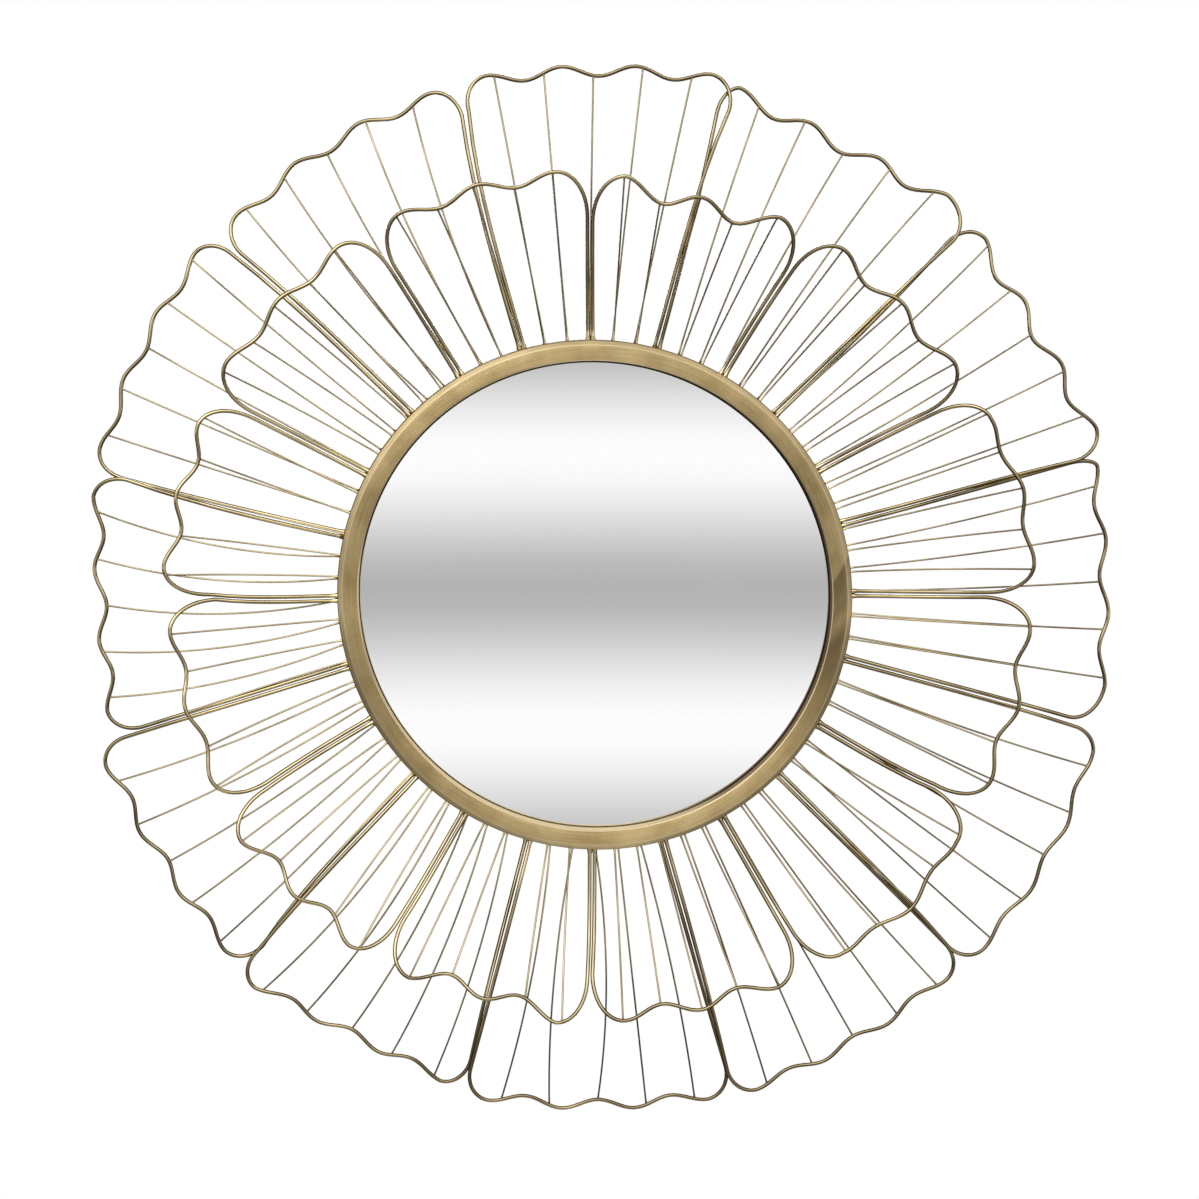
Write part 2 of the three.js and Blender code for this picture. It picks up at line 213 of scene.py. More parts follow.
class HoopSettings(bpy.types.PropertyGroup):
    """Sizes and colours of the hoop."""

    radius: length_setting("Radius", "Outer radius of the even hoop", 0.1957)
    oval: length_setting("Oval", "How far the hoop is drawn out of round", 0.0018)
    oval_angle: angle_setting("Oval angle", "Its long axis, anticlockwise from the right", -35)
    shift: place_setting("Shift", "Its middle from the middle of the petals", (0.001, 0.0, -0.0022))
    outer_bevel: length_setting("Outer bevel", "Width of the outer front bevel", 0.0038)
    inner_round: length_setting("Inner round", "Radius of the inner front edge", 0.0014)
    edge_round: length_setting("Edge round", "Radius of the face's and rear edges", 0.0005)
    outer_round: length_setting("Outer round", "Radius between bevel and outer wall", 0.0014)
    gold: colour_setting("Gold", "Rubbed gold of the hoop", "#D9C08C")
    patina: colour_setting("Patina", "Darker gold in the brush marks", "#B39A69")
    # Colour of the painted highlight on the inner lip and the bevel's edge
    edge_highlight: colour_setting("Rubbed", "Painted highlight on the inner lip and the bevel's edge", "#E6D3A8")
    # Colour of the painted shade near the weld
    weld_shade_colour: colour_setting("Weld shade", "Painted shade near the weld", "#8C7953")
    # Colour of the painted shade in the recess by the glass and on the outer wall
    recess: colour_setting("Recess", "Brown inside, by the glass", "#5E4C36")


class PetalSettings(bpy.types.PropertyGroup):
    """Sizes and colours of the petals' wires."""

    rim_radius: length_setting("Rim radius", "Radius of the thick rim wire", 0.0015)
    rim_spacing: length_setting("Rim spacing", "Gap between two petals' sides", 0.0008)
    spoke_radius: length_setting("Spoke radius", "Radius of the thin spokes", 0.0007)
    weld_swell: share_setting("Weld swell", "How much thicker a wire is at its welds", 0.4)
    weld_length: length_setting("Weld length", "How far a weld reaches along a wire", 0.002)
    root_play: length_setting("Root play", "Gap between the wires and the hoop", 0.0001)
    root_spread: share_setting("Root spread", "Share of the petal that the spokes span at the hoop", 0.667)
    tip_spread: share_setting("Tip spread", "Share of the petal that the spokes span at the rim", 0.72)
    # Gold of the painted highlight along each wire, and of its worn stretches
    gold: colour_setting("Gold", "Gold of the wires' painted highlight and worn stretches", "#F6DFA6")
    # Brown of the painted shade at each wire's sides, and of its less worn stretches
    patina: colour_setting("Patina", "Brown of the wires' painted shade and less worn stretches", "#3E2D12")
    # Brown that the wires turn to towards their tips
    tip_brown: colour_setting("Tip brown", "Brown of the wires far from the hoop", "#352A1B")


class GlassSettings(bpy.types.PropertyGroup):
    """Size and colour of the mirror glass."""

    bevel: length_setting("Edge", "Ground edge of the glass", 0.0006)
    play: length_setting("Play", "Gap between the glass and the hoop", 0.0007)
    silver: colour_setting("Silver", "Colour of the silvering", "#F8F8F8")


class BackSettings(bpy.types.PropertyGroup):
    """Sizes and colours of the board and its keyhole plate."""

    board_radius: length_setting("Board radius", "Radius of the even board", 0.188)
    edge: length_setting("Board edge", "Broken edge of the board", 0.0012)
    keyhole_radius: length_setting("Keyhole radius", "Radius of the keyhole's round end", 0.005)
    keyhole_drop: length_setting("Keyhole drop", "Its place below the plate's middle", 0.008)
    slot_radius: length_setting("Slot radius", "Half the width of the slot", 0.0026)
    slot_rise: length_setting("Slot rise", "End of the slot above the plate's middle", 0.010)
    screw_radius: length_setting("Screw radius", "Radius of the plate's screw heads", 0.0032)
    screw_place: length_setting("Screw place", "Screws above and below the plate's middle", 0.025)
    corner_round: length_setting("Corner round", "Radius of the plate's corners", 0.003)
    plate_edge: length_setting("Plate edge", "Broken edge of the plate and its holes", 0.0002)
    pocket: place_setting("Pocket", "Size of the recess behind the keyhole", (0.016, 0.005, 0.040))
    bed_play: length_setting("Bed play", "Gap round the plate in its bed", 0.0003)
    board: colour_setting("Board", "Colour of the fibreboard", "#8A6A48")
    zinc: colour_setting("Zinc", "Colour of the plated steel", "#C4C7C8")


class StageSettings(bpy.types.PropertyGroup):
    """Camera, floor and light."""

    azimuth: angle_setting("Azimuth", "Camera to the right of the front", -3.5)
    elevation: angle_setting("Elevation", "Camera above the middle", 6)
    distance: length_setting("Distance", "Camera from the middle of the hoop's front", 2.1)
    view_angle: angle_setting("View angle", "Field of view across the frame", 24.45)
    shift_right: share_setting("Shift right", "Framing, as a share of the frame", 0.0035)
    shift_up: share_setting("Shift up", "Framing, as a share of the frame", -0.0038)
    back_power: FloatProperty(
        name="Back light", description="Power of the light behind", default=60.0, min=0.0, unit="POWER"
    )
    back_place: place_setting("Back light place", "Middle of the light behind", (0.0, 2.6, 0.9))
    back_tilt: angle_setting("Back light tilt", "Its turn from facing down, to face the mirror", -71)
    back_size: length_setting("Back light size", "Side of the light behind", 1.6)
    floor_size: length_setting("Floor size", "Side of the square floor", 6.0)
    floor_front: length_setting("Floor front", "Middle of the floor in front of the wall", 1.0)
    floor_drop: length_setting("Floor drop", "Floor below the mirror's middle", 1.4)
    floor: colour_setting("Floor", "Colour of the floor", "#F2F1EE")


class MirrorSettings(bpy.types.PropertyGroup):
    """All that a user may change on the wall mirror."""

    hoop: PointerProperty(type=HoopSettings)
    petals: PointerProperty(type=PetalSettings)
    glass: PointerProperty(type=GlassSettings)
    back: PointerProperty(type=BackSettings)
    stage: PointerProperty(type=StageSettings)


def add_node(tree, kind, inputs=None, **settings):
    """Adds a shader node. An input is a value, an output, or a node whose first output feeds it."""
    node = tree.nodes.new("ShaderNode" + kind)
    for name, value in settings.items():
        setattr(node, name, value)
    for place, value in (inputs or {}).items():
        if isinstance(value, bpy.types.Node):
            tree.links.new(value.outputs[0], node.inputs[place])
        elif isinstance(value, bpy.types.NodeSocket):
            tree.links.new(value, node.inputs[place])
        else:
            node.inputs[place].default_value = value
    return node


def set_stops(ramp, low, high, stops):
    """Gives a ramp its grey stops: a place between low and high, and how light it is there."""
    elements = ramp.color_ramp.elements
    while len(elements) > 1:
        elements.remove(elements[-1])
    for number, (place, grey) in enumerate(stops):
        position = (place - low) / (high - low)
        stop = elements.new(position) if number else elements[0]
        stop.position = position
        stop.color = (grey, grey, grey, 1.0)


def new_material(name):
    """Makes an empty material and returns it with its node tree."""
    material = bpy.data.materials.new(name)
    material.use_nodes = True
    material.node_tree.nodes.clear()
    return material, material.node_tree


def close_material(tree, surface):
    """Links the shader to the material's output."""
    add_node(tree, "OutputMaterial", {"Surface": surface})


def brushed_gold(settings):
    """Antique gold lacquer on brushed steel tube.

    The eye sees satin streaks that run round the hoop, light gold between the brown strokes, with painted
    highlights and painted shade.
    """
    material, tree = new_material("antique gold on brushed steel tube")
    place = add_node(tree, "TexCoord").outputs["Object"]
    x, y, z = add_node(tree, "SeparateXYZ", {0: place}).outputs
    left = add_node(tree, "Math", {0: x, 1: -1.0}, operation="MULTIPLY")
    down = add_node(tree, "Math", {0: z, 1: -1.0}, operation="MULTIPLY")
    turn = add_node(tree, "Math", {0: down, 1: left}, operation="ARCTAN2")
    arc = add_node(tree, "Math", {0: turn, 1: settings.radius}, operation="MULTIPLY")
    flat = add_node(tree, "CombineXYZ", {"X": x, "Z": z})
    radius = add_node(tree, "VectorMath", {0: flat}, operation="LENGTH").outputs["Value"]
    unrolled = add_node(tree, "CombineXYZ", {"X": arc, "Y": radius, "Z": y})
    # Brush strokes 45 mm long and about 0.8 mm wide, coarser than real ones so that they show
    strokes_at = add_node(tree, "Mapping", {0: unrolled, "Scale": (22.0, 1250.0, 1250.0)})
    strokes = add_node(tree, "TexNoise", {"Vector": strokes_at, "Scale": 1.0, "Detail": 3.0})
    # Cloudy patina, 30 mm across
    clouds = add_node(tree, "TexNoise", {"Vector": unrolled, "Scale": 33.0, "Detail": 4.0})
    wear = add_node(tree, "Math", {0: strokes, 1: 0.6, 2: clouds}, operation="MULTIPLY_ADD")
    amount = add_node(tree, "MapRange", {"Value": wear, "From Min": 0.6, "From Max": 1.0})
    colour = add_node(tree, "Mix", {0: amount, 6: settings.patina, 7: settings.gold}, data_type="RGBA")
    # Which way the surface faces: 1 away from the mirror's axis, 0 to the front, -1 to the axis
    normal = add_node(tree, "NewGeometry").outputs["Normal"]
    outward = add_node(tree, "VectorMath", {0: flat}, operation="NORMALIZE")
    facing = add_node(tree, "VectorMath", {0: normal, 1: outward}, operation="DOT_PRODUCT").outputs["Value"]
    # Painted shade near the weld, with a lighter painted reflection in it, on a slant across the tube, from
    # first to last in degrees
    first, last = -45.0, 15.0
    bearing = add_node(tree, "Math", {0: z, 1: x}, operation="ARCTAN2")
    slant = math.radians(7) / TUBE_SIDE
    skewed = add_node(tree, "Math", {0: radius, 1: -slant, 2: bearing}, operation="MULTIPLY_ADD")
    middle = slant * (settings.radius - TUBE_SIDE / 2)
    reach = add_node(tree, "MapRange", {
        "Value": skewed, "From Min": math.radians(first) - middle, "From Max": math.radians(last) - middle,
    })
    weld_shade = add_node(tree, "ValToRGB", {"Fac": reach})
    weld_shade.color_ramp.interpolation = "EASE"
    # Degrees from the right, and depth of painted shade
    set_stops(weld_shade, first, last, (
        (-44.0, 0.0), (-25.0, 0.5), (-17.0, 0.85), (-12.0, 1.0),
        (-7.0, 0.5), (-3.0, 0.8), (4.4, 1.0), (5.8, 0.0),
    ))
    weld_shaded = add_node(tree, "Mix", {0: weld_shade, 6: colour.outputs[2], 7: settings.weld_shade_colour}, data_type="RGBA")
    # Painted highlight on the inner lip and the bevel's edge, and a weaker one on the bevel
    aspect = add_node(tree, "MapRange", {"Value": facing, "From Min": -1.0, "From Max": 1.0})
    edges = add_node(tree, "ValToRGB", {"Fac": aspect})
    set_stops(edges, -1.0, 1.0, (
        (-0.5, 1.0), (-0.25, 0.0), (0.05, 0.0), (0.2, 1.0), (0.4, 1.0), (0.55, 0.35)
    ))
    edge_highlight = add_node(tree, "Mix", {0: edges, 6: weld_shaded.outputs[2], 7: settings.edge_highlight}, data_type="RGBA")
    # Painted shade on the outer wall and in the recess by the glass; in the recess it is weaker towards the
    # lower left
    inside = add_node(tree, "MapRange", {"Value": facing, "From Min": -0.7, "From Max": -0.95})
    climb = add_node(tree, "Math", {0: x, 1: z}, operation="ADD")
    lower_left_fade = add_node(tree, "MapRange", {"Value": climb, "From Min": -0.17, "From Max": -0.05, "To Min": 0.3})
    within = add_node(tree, "Math", {0: inside, 1: lower_left_fade}, operation="MULTIPLY")
    outside = add_node(tree, "MapRange", {"Value": facing, "From Min": 0.78, "From Max": 0.92})
    # Where the painted shade lies
    recess = add_node(tree, "Math", {0: within, 1: outside}, operation="ADD")
    finish = add_node(tree, "Mix", {0: recess, 6: edge_highlight.outputs[2], 7: settings.recess}, data_type="RGBA")
    roughness = add_node(tree, "MapRange", {
        "Value": strokes, "From Min": 0.3, "From Max": 0.7, "To Min": 0.46, "To Max": 0.36,
    })
    bump = add_node(tree, "Bump", {"Strength": 0.25, "Distance": 0.0002, "Height": strokes})
    along = add_node(tree, "Tangent", direction_type="RADIAL", axis="Y")
    shader = add_node(tree, "BsdfPrincipled", {
        "Base Color": finish.outputs[2], "Metallic": 1.0, "Roughness": roughness, "Anisotropic": 0.95,
        "Anisotropic Rotation": 0.25, "Normal": bump, "Tangent": along,
    })
    close_material(tree, shader)
    return material


def drawn_gold(settings):
    """Antique gold lacquer on drawn steel wire.

    The eye sees painted highlight in bright gold along the middle of each wire, painted shade in brown at its
    sides, and brown where it is less worn.
    """
    material, tree = new_material("antique gold on drawn steel wire")
    place = add_node(tree, "TexCoord").outputs["Object"]
    x, _, z = add_node(tree, "SeparateXYZ", {0: place}).outputs
    flat = add_node(tree, "CombineXYZ", {"X": x, "Z": z})
    radius = add_node(tree, "VectorMath", {0: flat}, operation="LENGTH").outputs["Value"]
    # From the hoop to the tips, in metres from the mirror's axis
    root, tip = 0.19, 0.39
    reach = add_node(tree, "MapRange", {"Value": radius, "From Min": root, "From Max": tip})
    # Painted highlight on the welds at the hoop; the wires are lighter near the hoop and darker towards the
    # tips
    weld_highlight_and_fade = add_node(tree, "ValToRGB", {"Fac": reach})
    set_stops(weld_highlight_and_fade, root, tip, ((0.197, 0.8), (0.201, 0.27), (0.26, 0.2), (0.38, 0.12)))
    # Rubbed and brown stretches, 40 mm long
    stretches = add_node(tree, "TexNoise", {"Vector": place, "Scale": 25.0, "Detail": 2.0})
    wear_and_weld_highlight = add_node(tree, "Math", {0: stretches, 1: weld_highlight_and_fade}, operation="ADD")
    # Painted light on the left petals, but not on their tips
    left_light_share = add_node(tree, "MapRange", {
        "Value": x, "From Min": -0.25, "From Max": 0.05, "To Min": 0.28, "To Max": 0.0,
    })
    inward = add_node(tree, "MapRange", {
        "Value": radius, "From Min": 0.3, "From Max": 0.37, "To Min": 1.0, "To Max": 0.25,
    })
    painted_left_light = add_node(tree, "Math", {0: left_light_share, 1: inward}, operation="MULTIPLY")
    wear_and_light = add_node(tree, "Math", {0: wear_and_weld_highlight, 1: painted_left_light}, operation="ADD")
    brown = add_node(tree, "Mix", {0: reach, 6: settings.patina, 7: settings.tip_brown}, data_type="RGBA")
    amount = add_node(tree, "MapRange", {"Value": wear_and_light, "From Min": 0.6, "From Max": 1.2})
    # Painted highlight in gold along the front and the back of each wire, and painted shade in brown at its
    # sides
    normal = add_node(tree, "NewGeometry").outputs["Normal"]
    turned = add_node(tree, "SeparateXYZ", {0: normal})
    square_on = add_node(tree, "Math", {0: turned.outputs["Y"]}, operation="ABSOLUTE")
    crest = add_node(tree, "MapRange", {"Value": square_on, "From Min": 0.68, "From Max": 0.94})
    bright = add_node(tree, "Math", {0: amount, 1: 0.85, 2: 0.3}, operation="MULTIPLY_ADD")
    highlight_share = add_node(tree, "Math", {0: bright, 1: crest}, operation="MULTIPLY", use_clamp=True)
    colour = add_node(tree, "Mix", {0: highlight_share, 6: brown.outputs[2], 7: settings.gold}, data_type="RGBA")
    # Lacquer grain, 1.2 mm, coarser than real so that it shows
    grain = add_node(tree, "TexNoise", {"Vector": place, "Scale": 800.0, "Detail": 2.0})
    bump = add_node(tree, "Bump", {"Strength": 0.1, "Distance": 0.0001, "Height": grain})
    roughness = add_node(tree, "MapRange", {
        "Value": stretches, "From Min": 0.35, "From Max": 0.65, "To Min": 0.18, "To Max": 0.11,
    })
    shader = add_node(tree, "BsdfPrincipled", {
        "Base Color": colour.outputs[2], "Metallic": 1.0, "Roughness": roughness, "Normal": bump,
    })
    close_material(tree, shader)
    return material


def silvered_glass(settings):
    """Float glass silvered behind, which the eye sees as a clear, nearly neutral reflection."""
    material, tree = new_material("float glass silvered behind")
    place = add_node(tree, "TexCoord").outputs["Object"]
    # Faint haze left by wiping, 60 mm across
    haze = add_node(tree, "TexNoise", {"Vector": place, "Scale": 16.0, "Detail": 2.0})
    roughness = add_node(tree, "MapRange", {"Value": haze, "From Min": 0.4, "From Max": 0.7, "To Max": 0.03})
    shader = add_node(tree, "BsdfPrincipled", {
        "Base Color": settings.silver, "Metallic": 1.0, "Roughness": roughness,
    })
    close_material(tree, shader)
    return material


def raw_fibreboard(settings):
    """Sealed hardboard, pressed from wood fibre, which the eye sees as brown felted flecks."""
    material, tree = new_material("sealed pressed fibreboard")
    place = add_node(tree, "TexCoord").outputs["Object"]
    # Fibres about 3 mm long
    fibres = add_node(tree, "TexNoise", {"Vector": place, "Scale": 330.0, "Detail": 5.0, "Distortion": 1.5})
    # Press marks, 50 mm across
    blotches = add_node(tree, "TexNoise", {"Vector": place, "Scale": 20.0, "Detail": 3.0})
    mottle = add_node(tree, "Math", {0: fibres, 1: blotches}, operation="ADD")
    amount = add_node(tree, "MapRange", {"Value": mottle, "From Min": 0.7, "From Max": 1.3})
    dark = (*(0.6 * channel for channel in settings.board[:3]), 1.0)
    colour = add_node(tree, "Mix", {0: amount, 6: dark, 7: settings.board}, data_type="RGBA")
    bump = add_node(tree, "Bump", {"Strength": 0.3, "Distance": 0.0002, "Height": fibres})
    shader = add_node(
        tree, "BsdfPrincipled", {"Base Color": colour.outputs[2], "Roughness": 0.75, "Normal": bump}
    )
    close_material(tree, shader)
    return material


def plated_steel(settings):
    """Zinc plated pressed steel, which the eye sees as a cool grey spangle."""
    material, tree = new_material("zinc plated pressed steel")
    place = add_node(tree, "TexCoord").outputs["Object"]
    # Spangle, 4 mm across
    spangle = add_node(tree, "TexVoronoi", {"Vector": place, "Scale": 250.0})
    roughness = add_node(tree, "MapRange", {
        "Value": spangle.outputs["Color"], "To Min": 0.28, "To Max": 0.46,
    })
    shader = add_node(tree, "BsdfPrincipled", {
        "Base Color": settings.zinc, "Metallic": 1.0, "Roughness": roughness,
    })
    close_material(tree, shader)
    return material


def matt_floor(settings):
    """Matt painted floor, which the eye sees as an even pale ground."""
    material, tree = new_material("matt painted floor")
    shader = add_node(tree, "BsdfPrincipled", {"Base Color": settings.floor, "Roughness": 0.9})
    close_material(tree, shader)
    return material


def deselect_all():
    """Leaves nothing selected, so that an operator acts on the new piece alone."""
    bpy.ops.object.select_all(action="DESELECT")


def named_active(name):
    """Names the object that was just added, with its place taken into its mesh."""
    piece = bpy.context.active_object
    piece.name = name
    bpy.ops.object.transform_apply(location=True, rotation=True, scale=True)
    return piece


def pick(piece):
    """Makes a piece the only one selected, and the active one."""
    deselect_all()
    bpy.context.view_layer.objects.active = piece
    piece.select_set(True)


def bevel_edges(piece, wanted, offset, segments):
    """Bevels the edges that pass the test."""
    bpy.ops.object.mode_set(mode="EDIT")
    bpy.ops.mesh.select_mode(type="EDGE")
    bpy.ops.mesh.select_all(action="DESELECT")
    net = bmesh.from_edit_mesh(piece.data)
    for edge in net.edges:
        edge.select_set(wanted(edge))
    bmesh.update_edit_mesh(piece.data)
    bpy.ops.mesh.bevel(offset=offset, segments=segments, affect="EDGES")
    bpy.ops.object.mode_set(mode="OBJECT")


def round_edges(piece, wanted, offset, segments):
    """Bevels the edges whose two ends both lie where the test says."""
    bevel_edges(piece, lambda edge: all(wanted(end.co) for end in edge.verts), offset, segments)


def runs_through(edge):
    """Whether an edge runs from front to back."""
    run = edge.verts[1].co - edge.verts[0].co
    return abs(run.y) > abs(run.x) + abs(run.z)


def apply_modifier(piece, kind, **settings):
    """Adds a modifier to the active piece and applies it."""
    modifier = piece.modifiers.new(kind.title(), kind)
    for name, value in settings.items():
        setattr(modifier, name, value)
    bpy.ops.object.modifier_apply(modifier=modifier.name)


def cut_away(piece, cutter):
    """Cuts the cutter out of the piece and removes it."""
    pick(piece)
    apply_modifier(piece, "BOOLEAN", operation="DIFFERENCE", object=cutter, solver="EXACT")
    bpy.data.objects.remove(cutter)


def dress(piece, node, material):
    """Gives a piece its finish and lets it stand for its node, on the one body."""
    piece.data.materials.clear()
    piece.data.materials.append(material)
    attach(piece, "root")
    if node:
        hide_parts(node)


def near(first, second):
    """Whether two places are the same."""
    return abs(first - second) < TOUCH


def flat_radius(point):
    """Distance of a point from the mirror's axis."""
    return math.hypot(point.x, point.z)


class MIRROR_OT_stage(bpy.types.Operator):
    """Sets up the camera, the floor and the soft studio light"""

    bl_idname = "petal_mirror.stage"
    bl_label = "Stage"

    def execute(self, context):
        settings = context.scene.petal_mirror.stage
        self.add_camera(context, settings)
        self.add_floor(settings)
        self.light_back(settings)
        self.light_world(context)
        context.scene.view_settings.view_transform = "Standard"
        return {"FINISHED"}

    def add_camera(self, context, settings):
        """Stands the camera where the photograph was taken from."""
        level = math.cos(settings.elevation)
        back = Vector((
            math.sin(settings.azimuth) * level,
            -math.cos(settings.azimuth) * level,
            math.sin(settings.elevation),
        ))
        deselect_all()
        bpy.ops.object.camera_add(location=Vector((0.0, RING_LOW.y, 0.0)) + settings.distance * back)
        camera = context.active_object
        camera.rotation_euler = (-back).to_track_quat("-Z", "Y").to_euler()
        camera.data.angle = settings.view_angle
        camera.data.shift_x = settings.shift_right
        camera.data.shift_y = settings.shift_up
        context.scene.camera = camera

    def add_floor(self, settings):
        """Lays a pale floor well below the mirror."""
        deselect_all()
        middle = (0.0, -settings.floor_front, -settings.floor_drop)
        bpy.ops.mesh.primitive_plane_add(size=settings.floor_size, location=middle)
        floor = named_active("floor")
        floor.data.materials.append(matt_floor(settings))
        floor.visible_glossy = False

    def light_back(self, settings):
        """Hangs a soft light behind the mirror, so that its back is seen too."""
        deselect_all()
        turn = (settings.back_tilt, 0.0, 0.0)
        bpy.ops.object.light_add(type="AREA", location=settings.back_place, rotation=turn)
        light = bpy.context.active_object
        light.data.size = settings.back_size
        light.data.energy = settings.back_power
        light.visible_camera = False

    def light_world(self, context):
        """A white ground for the camera, and a studio of soft bands for all that reflects."""
        world = bpy.data.worlds.new("soft studio")
        world.use_nodes = True
        tree = world.node_tree
        tree.nodes.clear()
        context.scene.world = world
        way = add_node(tree, "TexCoord").outputs["Generated"]
        x, y, z = add_node(tree, "SeparateXYZ", {0: way}).outputs
        height = add_node(tree, "MapRange", {"Value": z, "From Min": -1.0, "From Max": 1.0})
        bands = add_node(tree, "ValToRGB", {"Fac": height})
        bands.color_ramp.interpolation = "EASE"
        # Elevation in degrees and brightness, from the ground to overhead
        set_stops(bands, -1.0, 1.0, [
            (math.sin(math.radians(degrees)), grey)
            for degrees, grey in (
                (-90.0, 2.4), (-55.0, 0.8), (-30.0, 0.24), (-18.0, 0.2), (-11.6, 0.49), (-8.75, 1.05),
                (-5.86, 0.475), (-3.1, 1.05), (-0.3, 0.40), (6.0, 0.7), (15.0, 1.8), (35.0, 2.4),
                (60.0, 2.1), (90.0, 1.6),
            )
        ])
        # Sideways part of the direction, and the share of the light that comes from there near the horizon
        side = add_node(tree, "MapRange", {"Value": x, "From Min": -1.0, "From Max": 1.0})
        across = add_node(tree, "ValToRGB", {"Fac": side})
        set_stops(across, -1.0, 1.0, (
            (-1.0, 2.8), (-0.8, 1.6), (-0.5, 0.9), (-0.3, 0.6), (-0.08, 1.0),
            (0.17, 1.0), (0.3, 0.4), (0.6, 0.85), (0.8, 2.2), (1.0, 3.5),
        ))
        # The light above is stronger from the left
        window = add_node(tree, "MapRange", {
            "Value": x, "From Min": -0.25, "From Max": 0.15, "To Min": 1.15, "To Max": 0.8,
        })
        level = add_node(tree, "MapRange", {
            "Value": z, "From Min": 0.03, "From Max": 0.17, "To Min": 1.0, "To Max": 0.0,
        })
        share = add_node(tree, "Mix", {0: level, 6: window, 7: across}, data_type="RGBA")
        lit = add_node(tree, "VectorMath", {0: bands, 1: share.outputs[2]}, operation="MULTIPLY")
        # The room is darker towards the wall behind the mirror
        front = add_node(tree, "MapRange", {
            "Value": y, "From Min": -0.75, "From Max": 0.4, "To Min": 1.0, "To Max": 0.06,
        })
        studio = add_node(tree, "Background", {"Color": lit, "Strength": front})
        ground = add_node(tree, "Background", {"Color": (1.0, 1.0, 1.0, 1.0)})
        ray = add_node(tree, "LightPath")
        seen = add_node(tree, "MixShader", {0: ray.outputs["Is Camera Ray"], 1: studio, 2: ground})
        add_node(tree, "OutputWorld", {"Surface": seen})


def hoop_stray(angle, hoop):
    """How far the hoop's edge lies outside its even circle, at an angle anticlockwise from the right."""
    shifted = hoop.shift[0] * math.cos(angle) + hoop.shift[2] * math.sin(angle)
    return shifted + hoop.oval * math.cos(2 * (angle - hoop.oval_angle))


def add_round(name, radius, low, high, fill="NGON", sides=ROUND_SIDES, height=0.0):
    """Adds a round body between two depths, about the mirror's axis or at a height above it."""
    deselect_all()
    bpy.ops.mesh.primitive_cylinder_add(
        vertices=sides,
        radius=radius,
        depth=high - low,
        end_fill_type=fill,
        location=(0.0, (low + high) / 2, height),
        rotation=(math.radians(90), 0.0, 0.0),
    )
    return named_active(name)


def draw_oval(piece, hoop):
    """Draws a finished round piece out to the hoop's oval and moves it to the hoop's middle."""
    pick(piece)
    drawn = hoop.oval / hoop.radius
    for turn, scale, place in (
        (hoop.oval_angle, (1.0, 1.0, 1.0), (0.0, 0.0, 0.0)),
        (0.0, (1.0 + drawn, 1.0, 1.0 - drawn), (0.0, 0.0, 0.0)),
        (-hoop.oval_angle, (1.0, 1.0, 1.0), hoop.shift),
    ):
        piece.rotation_euler = (0.0, turn, 0.0)
        piece.scale = scale
        piece.location = place
        bpy.ops.object.transform_apply(location=True, rotation=True, scale=True)


class MIRROR_OT_hoop(bpy.types.Operator):
    """Rolls the hoop from square tube and bevels its edges"""

    bl_idname = "petal_mirror.hoop"
    bl_label = "Hoop"

    def execute(self, context):
        settings = context.scene.petal_mirror.hoop
        inner = settings.radius - TUBE_SIDE
        middle = settings.radius - TUBE_SIDE / 2
        hoop = add_round("hoop", settings.radius, RING_LOW.y, RING_HIGH.y, "NOTHING")
        apply_modifier(hoop, "SOLIDIFY", thickness=TUBE_SIDE, offset=-1.0, use_even_offset=True)
        face = RING_LOW.y + TOUCH
        bevel_low = settings.radius - settings.outer_bevel
        bevel_high = RING_LOW.y + settings.outer_bevel
        for wanted, offset, segments in (
            (lambda at: at.y < face and flat_radius(at) > middle, settings.outer_bevel, 1),
            (lambda at: at.y < face and flat_radius(at) < inner + TOUCH, settings.inner_round, 4),
            (lambda at: at.y < face and near(flat_radius(at), bevel_low), settings.edge_round, 3),
            (lambda at: near(at.y, bevel_high) and flat_radius(at) > middle, settings.outer_round, 4),
            (lambda at: at.y > RING_HIGH.y - TOUCH, settings.edge_round, 2),
        ):
            round_edges(hoop, wanted, offset, segments)
        draw_oval(hoop, settings)
        bpy.ops.object.shade_smooth_by_angle(angle=METAL_CREASE)
        dress(hoop, "ring", brushed_gold(settings))
        return {"FINISHED"}


class MIRROR_OT_glass(bpy.types.Operator):
    """Cuts the round mirror glass and grinds its edge"""

    bl_idname = "petal_mirror.glass"
    bl_label = "Mirror glass"

    def execute(self, context):
        settings = context.scene.petal_mirror.glass
        hoop = context.scene.petal_mirror.hoop
        radius = hoop.radius - TUBE_SIDE - settings.play
        glass = add_round("glass", radius, GLASS_LOW.y, GLASS_HIGH.y)
        for depth in (GLASS_LOW.y, GLASS_HIGH.y):
            round_edges(glass, lambda place: near(place.y, depth), settings.bevel, segments=2)
        draw_oval(glass, hoop)
        bpy.ops.object.shade_smooth_by_angle(angle=GLASS_CREASE)
        dress(glass, "mirror_glass", silvered_glass(settings))
        return {"FINISHED"}


